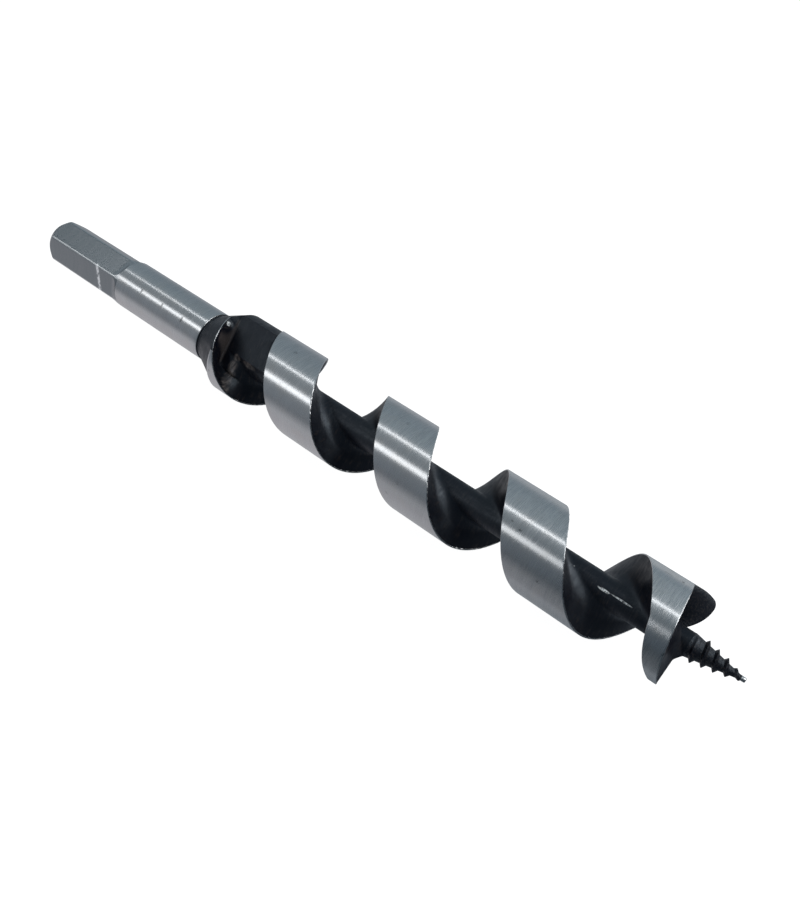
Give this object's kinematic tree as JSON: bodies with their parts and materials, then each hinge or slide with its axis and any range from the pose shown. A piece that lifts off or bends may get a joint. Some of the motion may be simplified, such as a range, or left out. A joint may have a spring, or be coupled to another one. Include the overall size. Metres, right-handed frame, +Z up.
{
  "type": "auger bit",
  "caption": "Single-flute wood auger bit with a hex drive end, ground lands, a black flute, a cutting lip with scoring spur and a lead screw.",
  "frame": {"origin": "centre of the flat end face of the shank, on the axis of the bit", "axes": "+X along the axis from the shank to the screw point; +Z up, with the bit lying on its lands; the first hex corner is 11 degrees from +Y towards +Z"},
  "size_m": [0.1983, 0.02, 0.02],
  "materials": {
    "bright_steel": "ground bright, fine grinding marks",
    "black_steel": "satin black oxide with faint brown-grey tooling marks"
  },
  "bodies": {
    "root": {"hex_drive": "bright_steel", "round_shank": "bright_steel", "neck": "black_steel", "shoulder": "black_steel", "core": "black_steel", "flight_1": "bright_steel", "flight_2": "bright_steel", "flight_3": "bright_steel", "main_cutter": "bright_steel", "spur_cutter": "black_steel", "screw_boss": "black_steel", "screw_root": "black_steel", "screw_thread": "black_steel", "screw_point": "bright_steel"}
  },
  "joints": []
}
